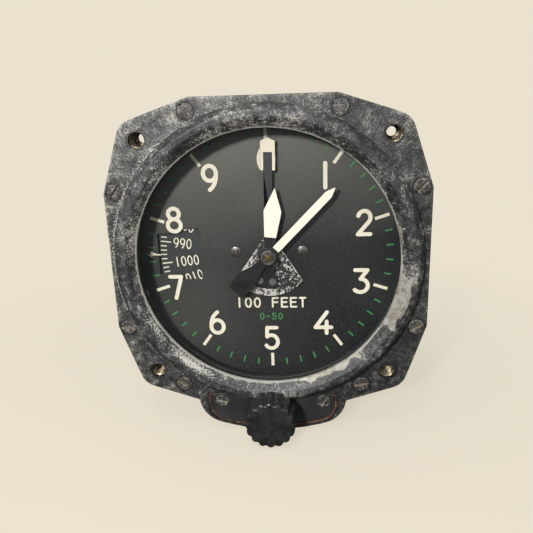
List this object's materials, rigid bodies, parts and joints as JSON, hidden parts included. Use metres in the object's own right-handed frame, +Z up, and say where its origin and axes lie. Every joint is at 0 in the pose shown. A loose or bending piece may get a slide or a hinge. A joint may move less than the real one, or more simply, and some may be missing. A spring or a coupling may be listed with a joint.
{
  "type": "altimeter",
  "caption": "Three-pointer aircraft altimeter: square panel flange, round glazed bezel, dial with pressure window, setting knob and a long round case behind.",
  "frame": {"origin": "centre of the four panel fixing holes, on the front face of the mounting flange", "axes": "+Z up as read by the pilot, the dial faces -Y, the case runs back along +Y, +X to the viewer's right"},
  "size_m": [0.0826, 0.119, 0.0911],
  "materials": {
    "case_paint": "black enamel on cast alloy",
    "flange_paint": "worn black paint on cast alloy, mottled grey",
    "bezel_paint": "worn black paint on cast alloy, bare grey metal showing",
    "cover_paint": "smooth dark paint",
    "gasket_rubber": "matt",
    "insert_brass": "aged",
    "screw_black": "painted over, slots worn",
    "window_glass": "clear flat glass",
    "dark_aluminium": "anodised black",
    "sealing_cord": "perished orange-brown sealing strip",
    "nipple_brass": "turned",
    "dial_black": "matt black with cream and green markings",
    "dial_screw_steel": "worn",
    "plate_brass": "satin",
    "pillar_brass": "turned",
    "screw_steel": "turned",
    "capsule_nickel": "thin corrugated nickel-silver",
    "arbor_steel": "polished",
    "wheel_brass": "cut teeth",
    "staff_brass": "turned",
    "hand_cream": "cream paint, black at the hub and tail",
    "hand_black": "satin black",
    "hand_grey": "dark grey strip with a cream marker",
    "flag_hatched": "black and white hatching, worn",
    "scale_black": "matt black with green divisions",
    "knob_black": "moulded, slightly dusty"
  },
  "bodies": {
    "case": {"case_body": "case_paint", "case_seal": "gasket_rubber", "mounting_flange": "flange_paint", "panel_inserts": "insert_brass", "flange_screws": "screw_black", "bezel_ring": "bezel_paint", "window_glass": "window_glass", "glass_gasket": "gasket_rubber", "glass_retaining_ring": "dark_aluminium", "lobe_cover": "cover_paint", "cover_seal": "sealing_cord", "cover_screws": "screw_black", "static_nipple": "nipple_brass", "dial": "dial_black", "dial_screws": "dial_screw_steel", "scale_keeper": "plate_brass", "front_plate": "plate_brass", "movement_screws": "screw_steel", "centre_plate": "plate_brass", "rear_plate": "plate_brass", "front_pillars": "pillar_brass", "rear_pillars": "pillar_brass", "bridge_posts": "pillar_brass", "train_bridge": "plate_brass", "capsule_bracket": "plate_brass", "capsule_stack": "capsule_nickel", "idler_stud": "arbor_steel", "spindle_bush": "pillar_brass"},
    "capsule_top": {"capsule_boss": "pillar_brass", "capsule_link": "arbor_steel"},
    "rocking_shaft": {"rocking_shaft": "arbor_steel", "sector_gear": "wheel_brass", "rocking_arm": "arbor_steel"},
    "train_arbor_one": {"train_arbor_one": "arbor_steel", "train_wheel_one": "wheel_brass"},
    "train_arbor_two": {"train_arbor_two": "arbor_steel", "train_wheel_two": "wheel_brass"},
    "hundreds": {"hand_staff": "staff_brass", "hundreds_hand": "hand_cream", "hundreds_cap": "hand_black"},
    "thousands": {"thousands_pipe": "staff_brass", "thousands_wheel": "wheel_brass", "thousands_hand": "hand_cream"},
    "ten_thousands": {"tens_pipe": "staff_brass", "tens_wheel": "wheel_brass", "tens_hand": "hand_grey", "low_altitude_flag": "flag_hatched"},
    "reduction_one": {"reduction_arbor_one": "arbor_steel", "reduction_wheel_one": "wheel_brass"},
    "reduction_two": {"reduction_arbor_two": "arbor_steel", "reduction_wheel_two": "wheel_brass"},
    "pressure_scale": {"scale_disc": "scale_black", "scale_gear": "wheel_brass"},
    "idler": {"setting_idler": "wheel_brass"},
    "setting": {"setting_spindle": "arbor_steel", "spindle_collar": "screw_steel", "setting_knob": "knob_black"}
  },
  "joints": [
    {"name": "rocking_shaft_turn", "type": "hinge", "parent": "case", "child": "rocking_shaft", "pos_m": [-0.00599, 0, 0.01598], "axis": [0, 1, 0], "range_deg": [-59.85, 1.35], "stiffness_Nm_per_rad": 12},
    {"name": "hundreds_hand_turn", "type": "hinge", "parent": "case", "child": "hundreds", "pos_m": [0, 0, 0], "axis": [0, 1, 0], "range_deg": [-405.76, 17957.92]},
    {"name": "thousands_hand_turn", "type": "hinge", "parent": "case", "child": "thousands", "pos_m": [0, 0, 0], "axis": [0, 1, 0], "range_deg": [-40.58, 1795.79]},
    {"name": "ten_thousands_hand_turn", "type": "hinge", "parent": "case", "child": "ten_thousands", "pos_m": [0, 0, 0], "axis": [0, 1, 0], "range_deg": [-4.06, 179.58]},
    {"name": "reduction_arbor_one_turn", "type": "hinge", "parent": "case", "child": "reduction_one", "pos_m": [0.0105, 0, 0], "axis": [0, 1, 0], "range_deg": [-4489.48, 101.44]},
    {"name": "reduction_arbor_two_turn", "type": "hinge", "parent": "case", "child": "reduction_two", "pos_m": [-0.0105, 0, 0], "axis": [0, 1, 0], "range_deg": [-448.95, 10.14]},
    {"name": "train_arbor_two_turn", "type": "hinge", "parent": "case", "child": "train_arbor_two", "pos_m": [0.00658, 0, -0.01074], "axis": [0, 1, 0], "range_deg": [-3591.58, 81.15]},
    {"name": "train_arbor_one_turn", "type": "hinge", "parent": "case", "child": "train_arbor_one", "pos_m": [0.01563, 0, 0.00084], "axis": [0, 1, 0], "range_deg": [-13.53, 598.6]},
    {"name": "capsule_rise", "type": "slide", "parent": "case", "child": "capsule_top", "axis": [0, 0, 1], "range_m": [-0.00014, 0.00597], "deforming": ["capsule_stack"]},
    {"name": "pressure_scale_turn", "type": "hinge", "parent": "case", "child": "pressure_scale", "pos_m": [0, 0, 0], "axis": [0, 1, 0], "range_deg": [-238.5, 66.5]},
    {"name": "setting_idler_turn", "type": "hinge", "parent": "case", "child": "idler", "pos_m": [0, 0, -0.0342], "axis": [0, 1, 0], "range_deg": [-475.22, 1703.79]},
    {"name": "setting_knob_turn", "type": "hinge", "parent": "case", "child": "setting", "pos_m": [0, 0, -0.0426], "axis": [0, 1, 0], "range_deg": [-1703.79, 475.22]}
  ],
  "couplings": [
    {"joint": "hundreds_hand_turn", "follows": "rocking_shaft_turn", "ratio": -300},
    {"joint": "thousands_hand_turn", "follows": "rocking_shaft_turn", "ratio": -30},
    {"joint": "ten_thousands_hand_turn", "follows": "rocking_shaft_turn", "ratio": -3},
    {"joint": "reduction_arbor_one_turn", "follows": "rocking_shaft_turn", "ratio": 75},
    {"joint": "reduction_arbor_two_turn", "follows": "rocking_shaft_turn", "ratio": 7.5},
    {"joint": "train_arbor_two_turn", "follows": "rocking_shaft_turn", "ratio": 60},
    {"joint": "train_arbor_one_turn", "follows": "rocking_shaft_turn", "ratio": -10},
    {"joint": "capsule_rise", "follows": "rocking_shaft_turn", "m_per_rad": -0.0057188},
    {"joint": "setting_idler_turn", "follows": "pressure_scale_turn", "ratio": -7.1429},
    {"joint": "setting_knob_turn", "follows": "pressure_scale_turn", "ratio": 7.1429}
  ]
}
